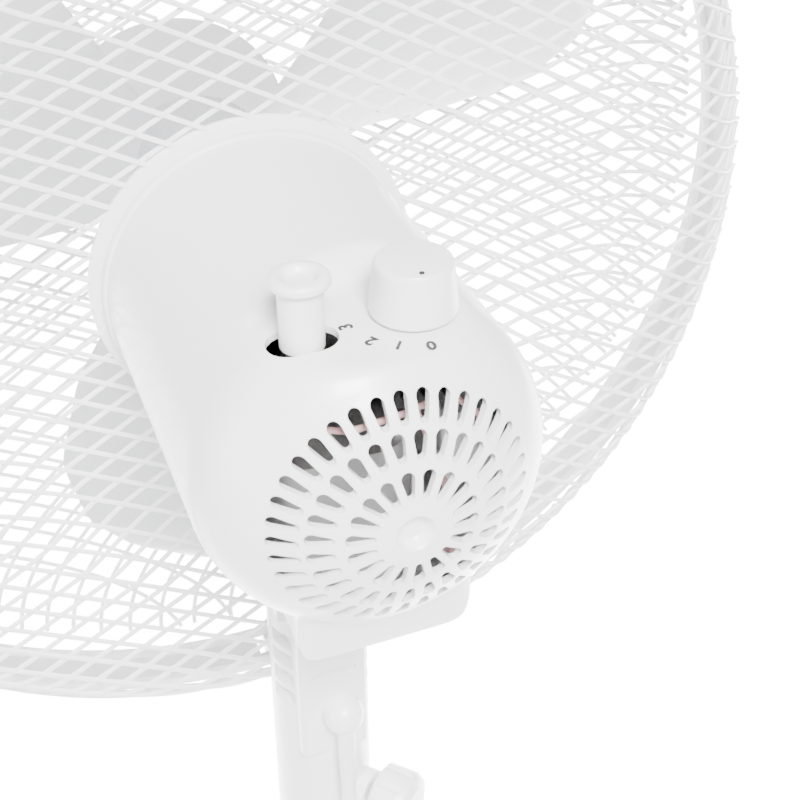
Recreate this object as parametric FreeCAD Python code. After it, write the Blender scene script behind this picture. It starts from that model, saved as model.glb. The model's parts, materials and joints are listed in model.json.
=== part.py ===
"""Pedestal fan: cross base, telescopic pole, tilting and oscillating head, 43 cm guard.

Millimetres. The origin is on the floor under the pole. +Z is up and the fan blows towards -Y.
Head parts are drawn in the head's own frame (origin at the centre of the motor cover's rear dome,
shaft along Y) and moved to their place by head().
"""
import math
import os

import FreeCAD
import Part

os.makedirs("parts", exist_ok=True)

V = FreeCAD.Vector
X, Y, Z = V(1, 0, 0), V(0, 1, 0), V(0, 0, 1)

# ---- driving dimensions -------------------------------------------------
motor_height = 900.0      # shaft above the floor with the pole at its lowest
column_back = 100.0       # rear dome to pole axis, along Y
guard_radius = 213.8      # outside of the guard's rim
guard_rear = -177.0       # rear corner of the rim
guard_band = 18.0         # width of the band that clamps the guards together
guard_nose = -290.0       # front of the centre badge
wire = 1.8                # guard wire
diamond_wide = 19.2       # one diamond of the guard's mesh
diamond_high = 10.5
mesh_x, mesh_z = -1.4, 0.9  # where the mesh's pattern is centred
housing_radius = 54.0
housing_front = -154.0
seam = -149.6             # joint between front cover and rear cover
skin = 2.4                # wall of the moulded covers
block_half = 28.0         # bottom block of the rear cover
block_floor = -62.0
platform = 45.0           # flat on top that carries the knobs
dial_x, dial_y = -15.0, -40.0
pull_x, pull_y = 18.7, -37.5
shaft_radius = 4.0
blade_radius = 189.0
hub_radius = 31.0
worm_wheel_radius = 14.0
crank_x, crank_y = 8.0, -56.0
pinion_radius, crank_gear_radius = 4.9, 16.2
link_x = 14.0             # crank link's pivot on the swivel, beside the pole axis
crank_throw = 9.0
tilt_z = -84.0            # tilt bolt, in the head's frame
neck_radius = 18.0
tube_in, tube_out = 11.0, 14.0    # telescopic tubes, outside radii
bar_half = 300.0          # half length of a base bar
bar_wide, bar_high = 36.0, 20.0
pad_high = 5.0
cord = 5.5                # mains cord diameter


def box(x0, y0, z0, x1, y1, z1):
    return Part.makeBox(x1 - x0, y1 - y0, z1 - z0, V(x0, y0, z0))


def rod(radius, start, end):
    """Cylinder between two points."""
    start, end = V(*start), V(*end)
    return Part.makeCylinder(radius, (end - start).Length, start, end - start)


def pipe(outer, inner, start, end):
    return rod(outer, start, end).cut(rod(inner, start, end))


def solid_of(shape):
    """All the solids of a shape as one shape."""
    return shape.Solids[0] if len(shape.Solids) == 1 else Part.makeCompound(shape.Solids)


def join(first, *others):
    return first.multiFuse(list(others)).removeSplitter()


def group(*shapes):
    return Part.makeCompound([s for shape in shapes for s in shape.Solids])


def turned(points, axis_point, along, radial):
    """Solid of revolution from (radius, distance) points; the last point joins the first."""
    corners = [axis_point + radial * r + along * d for r, d in points]
    face = Part.Face(Part.makePolygon(corners + corners[:1]))
    return face.revolve(axis_point, along, 360)


def around_z(points, x=0.0, y=0.0):
    return turned(points, V(x, y, 0), Z, X)


def around_y(points, x=0.0, z=0.0):
    return turned(points, V(x, 0, z), Y, X)


def filleted(shape, radius, direction=Z):
    """Rounds the straight edges that run along a direction."""
    edges = [e for e in shape.Edges if isinstance(e.Curve, Part.Line)
             and abs(abs(e.tangentAt(e.FirstParameter).dot(direction)) - 1) < 1e-6]
    return shape.makeFillet(radius, edges)


def polar(shape, count, centre, axis, start=0.0):
    copies = []
    for i in range(count):
        copy = shape.copy()
        copy.rotate(centre, axis, start + 360.0 * i / count)
        copies.append(copy)
    return copies


def head(shape):
    moved = shape.copy()
    moved.translate(V(0, column_back, motor_height))
    return moved


def save(name, shape):
    shape = solid_of(shape)
    if not shape.isValid():
        print("not valid:", name)
    shape.exportStep("parts/" + name + ".step")
    print(name, len(shape.Solids), round(shape.Volume / 1000, 1))


# ---- base ---------------------------------------------------------------
def base_bar(over):
    """Inverted steel channel; half of its height is cut away where the other bar crosses."""
    half, low, high = bar_wide / 2, pad_high, pad_high + bar_high
    wall, middle = 1.5, pad_high + bar_high / 2
    bar = box(-bar_half + 4, -half, low, bar_half - 4, half, high)
    bar = bar.cut(box(-bar_half, -half + wall, low - 1, bar_half, half - wall, high - wall))
    lap = half + 0.2
    if over:
        bar = bar.cut(box(-lap, -half - 1, low - 1, lap, half + 1, middle + 0.1))
    else:
        bar = bar.cut(box(-lap, -half - 1, middle - 0.1, lap, half + 1, high + 1))
    bar = bar.cut(rod(4.2, (0, 0, 0), (0, 0, 60)))
    bar.rotate(V(), Z, 45 if over else -45)
    return bar


def end_cap():
    """Moulded cap over a bar's end, drawn at +X."""
    half = bar_wide / 2 + 2.2
    top = pad_high + bar_high + 2.2
    cap = box(bar_half - 42, -half, pad_high, bar_half, half, top)
    cap = filleted(cap, 9.0)
    bore = box(bar_half - 60, -bar_wide / 2 - 0.05, pad_high - 1, bar_half - 4, bar_wide / 2 + 0.05,
               pad_high + bar_high + 0.05)
    return cap.cut(bore)


def foot_pad():
    pad = around_z([(0, 0), (13, 0), (15, 1.5), (15, pad_high), (0, pad_high)])
    stud = around_z([(0, pad_high), (10, pad_high), (10, pad_high + 6), (0, pad_high + 6)])
    pad = join(pad, stud)
    pad.translate(V(bar_half - 24, 0, 0))
    return pad


def pole_socket():
    """Steel flange and spigot that hold the pole upright on the crossed bars."""
    top = pad_high + bar_high
    flange = rod(38, (0, 0, top), (0, 0, top + 3))
    spigot = pipe(tube_out - 1.55, 10.5, (0, 0, top + 3), (0, 0, top + 75))
    socket = join(flange, spigot)
    socket = socket.cut(rod(4.2, (0, 0, 0), (0, 0, 60)))
    for hole in polar(rod(2.2, (30, 0, 0), (30, 0, 60)), 4, V(), Z, 45):
        socket = socket.cut(hole)
    return socket


def base_bolt():
    """Bolt up through the bars and the flange, with its nut above."""
    low, top = pad_high + 4.0, pad_high + bar_high + 3
    bolt = rod(4, (0, 0, low + 4), (0, 0, top + 12))
    head_plate = rod(9, (0, 0, low), (0, 0, low + 4))
    return join(bolt, head_plate)


def base_nut():
    top = pad_high + bar_high + 3
    nut = Part.Face(Part.makePolygon([V(7.4 * math.cos(a), 7.4 * math.sin(a), top)
                                      for a in [math.radians(60 * i) for i in range(7)]]))
    return nut.extrude(V(0, 0, 6.5)).cut(rod(4.05, (0, 0, 0), (0, 0, 60)))


def base_cover():
    """Domed moulding over the crossing, open below, with a collar round the pole."""
    low = pad_high + bar_high
    outer = around_z([(0, low), (82, low), (82, low + 8), (74, low + 20), (52, low + 32),
                      (26, low + 42), (21, low + 52), (21, low + 62), (0, low + 62)])
    inner = around_z([(0, low - 1), (79.5, low - 1), (79.5, low + 7), (72, low + 18), (50, low + 29.5),
                      (24, low + 39.5), (18, low + 50), (0, low + 50)])
    cover = outer.cut(inner).cut(rod(tube_out + 0.1, (0, 0, 0), (0, 0, 200)))
    return cover


# ---- pole ---------------------------------------------------------------
pole_foot = pad_high + bar_high + 6.5
pole_top = 560.0
collar_top = 604.0
neck_foot = 612.0


def outer_tube():
    return pipe(tube_out, tube_out - 1.5, (0, 0, pole_foot), (0, 0, pole_top))


def inner_tube():
    return pipe(tube_in, tube_in - 1.2, (0, 0, 250), (0, 0, motor_height - 190))


def collar_bush():
    """Split plastic bush between the tubes, with a flange on top of the outer tube."""
    bush = pipe(tube_out - 1.5, tube_in + 0.06, (0, 0, pole_top - 45), (0, 0, pole_top))
    flange = pipe(tube_out + 3, tube_in + 0.06, (0, 0, pole_top), (0, 0, pole_top + 22))
    bush = join(bush, flange)
    return bush.cut(box(tube_in - 2, -1.2, pole_top - 40, tube_out + 5, 1.2, pole_top + 30))


def height_collar():
    """Grip ring that squeezes the bush on the inner tube when it is twisted."""
    low = pole_top - 34
    outside = around_z([(0, low), (19.5, low), (22.5, low + 6), (23, low + 40), (21, low + 66),
                        (17, collar_top), (0, collar_top)])
    ring = outside.cut(rod(tube_out + 0.1, (0, 0, 0), (0, 0, pole_top)))
    ring = ring.cut(rod(tube_out + 3.1, (0, 0, pole_top - 0.1), (0, 0, pole_top + 22.2)))
    ring = ring.cut(rod(tube_in + 0.35, (0, 0, 0), (0, 0, motor_height)))
    grooves = polar(rod(1.6, (24, 0, low + 8), (24, 0, low + 48)), 18, V(), Z)
    return ring.cut(Part.makeCompound(grooves))


# ---- neck ---------------------------------------------------------------
knob_turn = 40.0          # clamp knob's direction, degrees from +Y towards -X
knob_z = motor_height - 198.0


def outward(shape):
    """Turns a shape drawn along +Y to the clamp knob's direction."""
    shape = shape.copy()
    shape.rotate(V(), Z, knob_turn)
    return shape


def neck_column():
    """Moulded neck: a sleeve on the inner tube below, two cheeks for the tilt bolt above."""
    z = motor_height
    sleeve = around_z([(0, neck_foot), (19.5, neck_foot), (19.5, neck_foot + 8), (neck_radius, neck_foot + 12),
                       (neck_radius, z - 100), (0, z - 100)])
    cheeks = box(-neck_radius, -13, z - 102, neck_radius, 13, z + tilt_z)
    crown = rod(13, (-neck_radius, 0, z + tilt_z), (neck_radius, 0, z + tilt_z))
    back = filleted(box(-13, 0, z - 166, 13, 19, z - 104), 3.0)
    lug = outward(rod(8, (0, 12, knob_z), (0, 22, knob_z)))
    hood = rod(7.4, (-2, 12, z - 146), (-2, 22, z - 146)).fuse(Part.makeSphere(7.4, V(-2, 22, z - 146)))
    neck = join(sleeve, cheeks, crown, back, lug, hood)
    neck = neck.cut(rod(tube_in + 0.06, (0, 0, 500), (0, 0, z - 190)))
    neck = neck.cut(rod(7.5, (0, 0, z - 191), (0, 0, z - 118)))
    neck = neck.cut(box(-8.8, -20, z - 104, 8.8, 20, z))
    neck = neck.cut(rod(3.05, (-30, 0, z + tilt_z), (30, 0, z + tilt_z)))
    neck = neck.cut(outward(rod(3.1, (0, 8, knob_z), (0, 30, knob_z))))
    neck = neck.cut(box(-8, 17.8, z - 128, 8, 25, z - 126.4))
    neck = neck.cut(rod(3.4, (-2, 24.5, z - 160), (-2, 24.5, z - 146)))
    for level in range(4):
        low = z - 112 - 9.0 * level
        for side in (-1, 1):
            pocket = box(13.2, 3, low - 6.4, 20, 12, low)
            if side < 0:
                pocket = box(-20, 3, low - 6.4, -13.2, 12, low)
            neck = neck.cut(pocket)
    return neck


def cord_bush():
    """Rubber bush in the hood's mouth that the cord leaves through, tapering down round it."""
    top = motor_height - 148.0
    return around_z([(0, top), (3.36, top), (3.36, top - 9), (3.1, top - 18), (2.9, top - 29.6), (0, top - 29.6)],
                    -2, 24.5)


def neck_knob():
    knob = around_y([(0, 24), (9, 24), (12.6, 26), (13, 36), (11.5, 39), (8, 40.5), (0, 40.5)])
    knob = knob.cut(Part.makeCompound(polar(rod(2.2, (14.2, 22, 0), (14.2, 44, 0)), 10, V(), Y)))
    screw = rod(3.0, (0, 11.2, 0), (0, 24, 0))
    knob = join(knob, screw)
    knob.translate(V(0, 0, knob_z))
    return outward(knob)


def tilt_bolt():
    z = motor_height + tilt_z
    shank = rod(3, (-neck_radius - 3, 0, z), (neck_radius + 3.6, 0, z))
    button = turned([(0, 0), (6.5, 0), (6.5, 1.5), (4.5, 3.4), (0, 3.4)], V(-neck_radius, 0, z), -X, Y)
    return join(shank, button)


def tilt_nut():
    z = motor_height + tilt_z
    nut = Part.Face(Part.makePolygon([V(neck_radius, 6.2 * math.cos(a), z + 6.2 * math.sin(a))
                                      for a in [math.radians(60 * i) for i in range(7)]]))
    return nut.extrude(V(3.4, 0, 0)).cut(rod(3.02, (0, 0, z), (60, 0, z)))


# ---- tilting swivel -------------------------------------------------------
def swivel_bracket():
    """Tongue on the tilt bolt, turntable above it and the pin that the head turns on."""
    z = motor_height
    tongue = rod(11, (-8.5, 0, z + tilt_z), (8.5, 0, z + tilt_z))
    web = box(-8.5, -11, z + tilt_z, 8.5, 11, z - 66)
    table = rod(19, (0, 0, z - 66), (0, 0, z - 62.6))
    disc = rod(17.6, (0, 0, z - 62.6), (0, 0, z - 57.2))
    hub = rod(7.4, (0, 0, z - 57.2), (0, 0, z - 53.4))
    pin = rod(6.0, (0, 0, z - 53.4), (0, 0, z - 46.6))
    bracket = join(tongue, web, table, disc, hub, pin)
    bracket = bracket.cut(rod(3.05, (-30, 0, z + tilt_z), (30, 0, z + tilt_z)))
    bracket = bracket.cut(rod(2.0, (link_x, 0, z - 61), (link_x, 0, z - 57)))
    return bracket


def link_screw():
    """Shouldered screw on which the crank link turns."""
    z = motor_height
    shank = rod(1.98, (link_x, 0, z - 61), (link_x, 0, z - 54.2))
    button = rod(3.0, (link_x, 0, z - 54.2), (link_x, 0, z - 53.0))
    return join(shank, button)


def crank_link():
    """Flat link from the swivel to the crank pin, whose eye lies just below the pin."""
    low, high = motor_height - 56.8, motor_height - 54.5
    a = V(link_x, 0, low)
    b = V(crank_x + crank_throw, column_back + crank_y, low)
    side = (b - a).cross(Z)
    side.normalize()
    bar = Part.Face(Part.makePolygon([a + side * 3.4, b + side * 3.4, b - side * 3.4, a - side * 3.4,
                                      a + side * 3.4]))
    bar = bar.extrude(V(0, 0, high - low))
    link = join(bar, rod(5, (a.x, a.y, low), (a.x, a.y, high)), rod(5, (b.x, b.y, low), (b.x, b.y, high)))
    link = link.cut(rod(2.04, (a.x, a.y, low - 1), (a.x, a.y, high + 1)))
    return link.cut(rod(2.4, (b.x, b.y, low - 1), (b.x, b.y, high + 1)))


# ---- motor cover (head's frame from here on) -------------------------------
def rounded_x(shape, radius):
    """Rounds the edges along Y."""
    return filleted(shape, radius, Y)


def cover_form(inset, front):
    """The motor cover's outside, or its inside when inset is the wall's thickness."""
    r = housing_radius - inset
    back = -inset
    start, knee, waist = V(0, back, 0), V(40 - inset, back - 14.0, 0), V(r, -42, 0)
    profile = [
        Part.Arc(start, V(22 - inset / 2, back - 3.4, 0), knee).toShape(),
        Part.Arc(knee, V(r - 3.6, back - 25.5, 0), waist).toShape(),
        Part.LineSegment(waist, V(r, front, 0)).toShape(),
        Part.LineSegment(V(r, front, 0), V(0, front, 0)).toShape(),
        Part.LineSegment(V(0, front, 0), start).toShape(),
    ]
    barrel = Part.Face(Part.Wire(profile)).revolve(V(), Y, 360)
    jaw = rounded_x(box(-47 + inset, front, -46 + inset, 47 - inset, -44 - inset, 0), 14 - inset)
    block = box(-block_half + inset, front + 14, block_floor + inset, block_half - inset, -24 - inset, 0)
    block = filleted(block, 7 - inset)
    return join(barrel, jaw, block)


def vent_slots():
    """Three rings of radial slots through the rear dome."""
    slots = []
    for count, inner, outer, wide in ((36, 31.2, 38.8, 3.1), (27, 22.6, 29.8, 3.2), (18, 13.4, 20.8, 3.3)):
        r = wide / 2
        slot = box(inner + r, -40, -r, outer - r, 5, r)
        slot = slot.fuse([rod(r, (inner + r, -40, 0), (inner + r, 5, 0)),
                          rod(r, (outer - r, -40, 0), (outer - r, 5, 0))])
        slots += polar(slot.removeSplitter(), count, V(), Y, 5.0)
    return Part.makeCompound(slots)


def platform_cut(drop):
    """What is removed above the flat for the knobs; its front wall leans forward."""
    z = platform - drop
    side = Part.makePolygon([V(-70, -58 + drop * 0.4, z), V(-70, -80 + drop * 0.4, 70), V(-70, 20, 70),
                             V(-70, 20, z), V(-70, -58 + drop * 0.4, z)])
    return Part.Face(side).extrude(V(140, 0, 0))


def motor_rear_cover():
    """Thin moulded shell with the knob platform, vent slots and the block for the swivel."""
    outer = cover_form(0.0, seam).cut(platform_cut(0.0))
    inner = cover_form(skin, seam - 5).cut(platform_cut(skin))
    shell = outer.cut(inner)
    shell = shell.cut(vent_slots())
    hole = join(box(pull_x - 4, pull_y - 6.9, 30, pull_x + 4, pull_y + 6.9, 60),
                rod(6.9, (pull_x - 4, pull_y, 30), (pull_x - 4, pull_y, 60)),
                rod(6.9, (pull_x + 4, pull_y, 30), (pull_x + 4, pull_y, 60)))
    shell = shell.cut(hole).cut(rod(4.2, (dial_x, dial_y, 30), (dial_x, dial_y, 60)))
    dimple = Part.makeSphere(7.0, V(0, 5.0, 0))
    shell = shell.cut(dimple)
    shell = shell.cut(rod(18.4, (0, -column_back, block_floor - 5), (0, -column_back, block_floor + 8)))
    return shell


def motor_front_cover():
    """Ring and front plate that close the motor cover; the guard's boss stands on it."""
    r = housing_radius + 1.2
    ring = around_y([(0, housing_front), (r - 1.5, housing_front), (r, housing_front + 1.5), (r, seam - 0.05),
                     (0, seam - 0.05)])
    jaw = rounded_x(box(-48, housing_front, -47, 48, seam - 0.05, 0), 14)
    plate = join(ring, jaw)
    plate = plate.cut(rod(26, (0, -170, 0), (0, -140, 0)))
    holes = polar(rod(6, (38, -170, 0), (38, -140, 0)), 8, V(), Y, 22.5)
    return plate.cut(Part.makeCompound(holes))


# ---- motor --------------------------------------------------------------
screw_ring = 41.0


def bell(plate, open_end):
    """Cast end bell: a plate with a skirt that bears on the laminations, drawn along Y."""
    toward = 1 if open_end > plate else -1
    disc = around_y([(0, plate), (44, plate), (44, plate + 2.5 * toward), (0, plate + 2.5 * toward)])
    skirt = pipe(44, 37.8, (0, plate, 0), (0, open_end, 0))
    boss = rod(12, (0, plate, 0), (0, plate + 9 * toward, 0))
    body = join(disc, skirt, boss).cut(rod(8.0, (0, -200, 0), (0, 0, 0)))
    windows = polar(rod(5.0, (24, -200, 0), (24, 0, 0)), 8, V(), Y)
    body = body.cut(Part.makeCompound(windows))
    return body.cut(Part.makeCompound(polar(rod(1.8, (screw_ring, -200, 0), (screw_ring, 0, 0)), 4, V(), Y, 45)))


def front_end_bell():
    body = bell(-147.0, -128.0)
    nose = pipe(18, 12.2, (0, -176, 0), (0, -147, 0))
    threads = [pipe(18.6, 17.5, (0, y, 0), (0, y + 1.2, 0)) for y in (-174, -171, -168, -165)]
    return join(body, nose, *threads)


def rear_end_bell():
    return bell(-79.0, -98.0)


def motor_bushes():
    return group(pipe(7.98, shaft_radius + 0.03, (0, -147, 0), (0, -138, 0)),
                 pipe(7.98, shaft_radius + 0.03, (0, -88, 0), (0, -79, 0)))


def stator_core():
    core = pipe(44, 24.4, (0, -128, 0), (0, -98, 0))
    slots = polar(join(box(27, -130, -2.4, 34, -96, 2.4), box(20, -130, -0.9, 28, -96, 0.9)), 16, V(), Y)
    core = core.cut(Part.makeCompound(slots))
    return core.cut(Part.makeCompound(polar(rod(1.8, (screw_ring, -130, 0), (screw_ring, -96, 0)), 4, V(), Y, 45)))


def stator_windings():
    """Copper end turns, one bundle at each face of the core."""
    def bundle(y0, y1):
        return around_y([(27, y0), (35, y0), (36.5, (y0 + y1) / 2), (35, y1), (27, y1), (26, (y0 + y1) / 2)])
    return group(bundle(-139, -128.05), bundle(-97.95, -89.5))


def motor_screws():
    screw = join(rod(1.6, (screw_ring, -147, 0), (screw_ring, -77, 0)),
                 rod(2.9, (screw_ring, -148.8, 0), (screw_ring, -147, 0)))
    nut = pipe(3.0, 1.62, (screw_ring, -79, 0), (screw_ring, -76.9, 0))
    return group(*polar(screw, 4, V(), Y, 45), *polar(nut, 4, V(), Y, 45))


def motor_shaft():
    """Shaft with the worm turned on its rear end and a thread at the blade."""
    plain = rod(shaft_radius, (0, -258, 0), (0, -60, 0))
    thread = rod(3.4, (0, -268, 0), (0, -258, 0))
    core = rod(3.2, (0, -60, 0), (0, -26, 0))
    rings = [around_y([(3.0, y), (4.5, y + 0.7), (4.5, y + 1.3), (3.0, y + 2.0)])
             for y in [-50 + 2.2 * i for i in range(11)]]
    return join(plain, thread, core, *rings)


def rotor_core():
    core = pipe(24.0, shaft_radius, (0, -127.5, 0), (0, -98.5, 0))
    rings = [pipe(23.5, 13, (0, y, 0), (0, y + 3.5, 0)) for y in (-131, -98.5)]
    fins = [f for y in (-134.5, -95)
            for f in polar(box(14, y, -1, 22.5, y + 3.5, 1), 12, V(), Y)]
    return join(core, *rings, *fins)


# ---- gearbox --------------------------------------------------------------
def gear(teeth, root, tip, bore, x, y, z0, z1, turn=0.0):
    """Straight toothed wheel about Z."""
    disc = rod(root, (x, y, z0), (x, y, z1))
    half = math.pi * root / teeth * 0.46
    tooth = Part.Face(Part.makePolygon([V(x + root - 0.6, y - half, z0), V(x + tip, y - half * 0.5, z0),
                                        V(x + tip, y + half * 0.5, z0), V(x + root - 0.6, y + half, z0),
                                        V(x + root - 0.6, y - half, z0)])).extrude(V(0, 0, z1 - z0))
    wheel = join(disc, *polar(tooth, teeth, V(x, y, 0), Z, turn))
    return wheel.cut(rod(bore, (x, y, z0 - 1), (x, y, z1 + 1)))


def worm_wheel():
    """Worm wheel with a recess on top that the clutch collar drops into."""
    wheel = gear(36, worm_wheel_radius - 1.6, worm_wheel_radius - 0.05, 2.56, pull_x, pull_y, -3.5, 3.5)
    return wheel.cut(rod(5.35, (pull_x, pull_y, -2.4), (pull_x, pull_y, 4.0)))


def pinion():
    """Sleeve with ten teeth below the worm wheel; the pull rod passes through it."""
    teeth = gear(10, pinion_radius - 1.5, pinion_radius - 0.1, 2.56, pull_x, pull_y, -29, -22)
    sleeve = pipe(3.4, 2.56, (pull_x, pull_y, -22.2), (pull_x, pull_y, -5.2))
    return join(teeth, sleeve)


def crank_gear():
    """Large gear, its shaft down through the case, and the crank disc with its pin below."""
    wheel = gear(34, crank_gear_radius - 1.5, crank_gear_radius - 0.1, 1.0, crank_x, crank_y, -29, -23, 5.0)
    shaft = rod(3.0, (crank_x, crank_y, -48.5), (crank_x, crank_y, -22.4))
    disc = rod(12.5, (crank_x, crank_y, -51.0), (crank_x, crank_y, -48.4))
    pin = rod(2.2, (crank_x + crank_throw, crank_y, -53.9), (crank_x + crank_throw, crank_y, -51.0))
    return join(wheel, shaft, disc, pin)


case_low, case_high = -34.0, 12.0


def gearbox_case():
    outer = filleted(box(-11, -74.5, case_low, 36.2, -20.5, case_high), 15)
    inner = filleted(box(-9, -72.5, case_low + 3, 34.2, -22.5, case_high + 1), 13)
    case = outer.cut(inner)
    case = case.cut(rod(5.2, (0, -80, 0), (0, -60, 0)))
    case = case.cut(rod(3.05, (crank_x, crank_y, -40), (crank_x, crank_y, 0)))
    case = case.cut(rod(2.7, (pull_x, pull_y, -40), (pull_x, pull_y, 0)))
    feet = [box(x, -78.9, -30, x + 5, -74.4, -22) for x in (5, 15)]
    return join(case, *feet)


def gearbox_lid():
    lid = filleted(box(-11, -74.5, case_high, 36.2, -20.5, case_high + 2.2), 15)
    lid = lid.cut(rod(2.7, (pull_x, pull_y, 0), (pull_x, pull_y, 30)))
    screws = [rod(2.4, (x, y, case_high + 2.2), (x, y, case_high + 3.8)) for x, y in ((-6, -60), (31, -62), (-5, -28))]
    return join(lid, *screws)


def swivel_block():
    """Plate across the bottom block with the bore that the head turns in."""
    plate = box(-block_half + skin, -column_back - 16, -50, block_half - skin, -column_back + 14, -46)
    hub = rod(9.8, (0, -column_back, -53.3), (0, -column_back, -46))
    body = join(plate, hub)
    return body.cut(rod(6.05, (0, -column_back, -60), (0, -column_back, -40)))


# ---- controls -------------------------------------------------------------
def oscillation_knob():
    """Pull knob: round stem and a wider, dished top."""
    knob = around_z([(0, 43.2), (6.35, 43.2), (6.35, 61.0), (8.4, 62.4), (8.4, 65.0), (7.6, 66.0),
                     (5.6, 65.6), (0, 64.4)], pull_x, pull_y)
    return knob.cut(rod(2.5, (pull_x, pull_y, 0), (pull_x, pull_y, 50)))


def pull_rod():
    """Rod from the knob down through the worm wheel and the pinion, with the clutch collar."""
    collar = rod(5.0, (pull_x, pull_y, 5.0), (pull_x, pull_y, 6.5))
    return join(rod(2.5, (pull_x, pull_y, -31), (pull_x, pull_y, 50)), collar)


def speed_knob():
    knob = around_z([(0, 46), (12.6, 46), (12.9, 47), (11.6, 61.2), (10.6, 62.4), (0, 62.4)], dial_x, dial_y)
    stem = rod(3.0, (dial_x, dial_y, 39), (dial_x, dial_y, 46.5))
    dot = rod(0.7, (dial_x + 1.0, dial_y + 8.6, 62.0), (dial_x + 1.0, dial_y + 8.6, 63))
    return join(knob, stem).cut(dot)


def speed_switch():
    body = filleted(box(-25.5, -52, 20, -4.5, -30, 37), 2)
    bush = pipe(4.1, 3.05, (dial_x, dial_y, 37), (dial_x, dial_y, 44.4))
    tags = [box(x, -30.2, 24, x + 4, -26, 24.8) for x in (-23, -17, -11)]
    return join(body, bush, *tags).cut(rod(3.05, (dial_x, dial_y, 38.6), (dial_x, dial_y, 50)))


def capacitor():
    return filleted(box(-41, -70, -20, -24, -40, 6), 1.5)


def lead_wires():
    """Insulated leads inside the cover, from the switch to the motor and the capacitor."""
    def lead(points):
        pieces = []
        for a, b in zip(points, points[1:]):
            pieces.append(rod(1.0, a, b))
        pieces += [Part.makeSphere(1.0, V(*p)) for p in points[1:-1]]
        return join(*pieces)
    return group(lead([(-21, -24.8, 24.4), (-28, -22, 18), (-33, -24, 8), (-33, -38, 6.5)]),
                 lead([(-15, -24.8, 24.4), (-4, -18.5, 27), (12, -17.5, 26), (27, -28, 24), (27, -76, 24)]),
                 lead([(-9, -24.8, 24.4), (-12, -17, 12), (-16, -12.8, -4), (-17, -15, -24), (-17, -60, -38)]))


# ---- blade ------------------------------------------------------------------
def blade_section(r, chord, pitch, middle):
    """Thin lens at one radius: chord, pitch to the blade's plane and axial place."""
    thick = 1.3 + 2.0 * (1 - r / blade_radius)
    camber = 0.07 * chord
    half = chord / 2
    cosp, sinp = math.cos(math.radians(pitch)), math.sin(math.radians(pitch))

    def at(s, h):
        return V(r, middle - s * sinp + h * cosp, s * cosp + h * sinp)

    stations = [-1.0, -0.6, 0.0, 0.6, 1.0]
    upper = [at(s * half, thick / 2 + camber * (1 - s * s)) for s in stations]
    lower = [at(s * half, -thick / 2 + camber * (1 - s * s)) for s in stations]
    top, bottom = Part.BSplineCurve(), Part.BSplineCurve()
    top.interpolate(upper)
    bottom.interpolate(list(reversed(lower)))
    return Part.Wire([top.toShape(), Part.LineSegment(upper[-1], lower[-1]).toShape(), bottom.toShape(),
                      Part.LineSegment(lower[0], upper[0]).toShape()])


def fan_blade():
    """Hub with three broad blades whose tips are rounded."""
    stations = [(27, 44, 42, -232), (60, 84, 36, -231), (100, 128, 29, -230), (140, 148, 23, -229),
                (168, 128, 19, -228), (182, 92, 18, -228), (blade_radius, 46, 18, -228)]
    one = Part.makeLoft([blade_section(*s) for s in stations], True, False)
    hub = around_y([(0, -256), (20, -256), (28, -253), (hub_radius, -246), (hub_radius, -212), (28.5, -212),
                    (28.5, -244), (25, -250), (18, -252), (0, -252)])
    boss = rod(9, (0, -252, 0), (0, -214, 0))
    blade = join(hub, boss, *polar(one, 3, V(), Y, -30))
    blade = blade.cut(rod(28.4, (0, -250, 0), (0, -200, 0)).cut(rod(9, (0, -250, 0), (0, -200, 0))))
    return blade.cut(rod(shaft_radius, (0, -300, 0), (0, -200, 0)))


def blade_nut():
    nut = around_y([(0, -271), (9, -271), (12, -268), (12, -259), (14, -256.1), (0, -256.1)])
    return nut.cut(rod(3.4, (0, -268.2, 0), (0, -258, 0))).cut(rod(shaft_radius, (0, -258, 0), (0, -250, 0)))


# ---- guards -----------------------------------------------------------------
rear_stations = [(0, -157.6), (72, -157.2), (106, -154.8), (130, -145), (186, -144.5), (200, -150), (208, -160),
                 (guard_radius, -176)]


def rear_depth(r):
    """Distance along Y of the rear guard's mesh: a flat middle, one step back, then down to the rim."""
    for (r0, y0), (r1, y1) in zip(rear_stations, rear_stations[1:]):
        if r <= r1:
            return y0 + (y1 - y0) * (r - r0) / (r1 - r0)
    return guard_rear


def front_depth(r):
    """The front guard's mesh: steep at the rim and nearly flat at the badge."""
    t = min(r / (guard_radius - 4.0), 1.0)
    return guard_rear - guard_band - 92.0 * (1 - t ** 2.6) ** 0.36


def mesh_wires(depth, inner, outer, slope, offset, spread, breaks):
    """One family of parallel wires: bent flat strips that follow the depth, parted at the break radii."""
    angle = math.radians(slope)
    along, across = V(math.cos(angle), 0, math.sin(angle)), V(-math.sin(angle), 0, math.cos(angle))
    pitch = diamond_high * math.cos(angle)
    wires = []
    count = int(outer / pitch)
    for i in range(-count, count + 1):
        c = (i + 0.5) * pitch + V(mesh_x, 0, mesh_z).dot(across)
        if abs(c) > outer - 3:
            continue
        stops = [math.sqrt(r ** 2 - c ** 2) for r in [inner] + breaks + [outer] if r > abs(c)]
        spans = list(zip(stops, stops[1:]))
        spans += [(-b, -a) for a, b in spans]
        if abs(c) >= inner:
            spans.append((-stops[0], stops[0]))
        for s0, s1 in spans:
            steps = max(2, int(round((s1 - s0) / spread)))
            line = [s0 + (s1 - s0) * k / steps for k in range(steps + 1)]
            path = [(s, depth(math.hypot(s, c)) + offset) for s in line]
            near = [along * s + across * (c - wire / 2) + Y * (d - wire / 2) for s, d in path]
            far = [along * s + across * (c - wire / 2) + Y * (d + wire / 2) for s, d in reversed(path)]
            wires.append(Part.Face(Part.makePolygon(near + far + near[:1])).extrude(across * wire))
    return wires


mesh_slope = math.degrees(math.atan2(diamond_high, diamond_wide))


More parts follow.
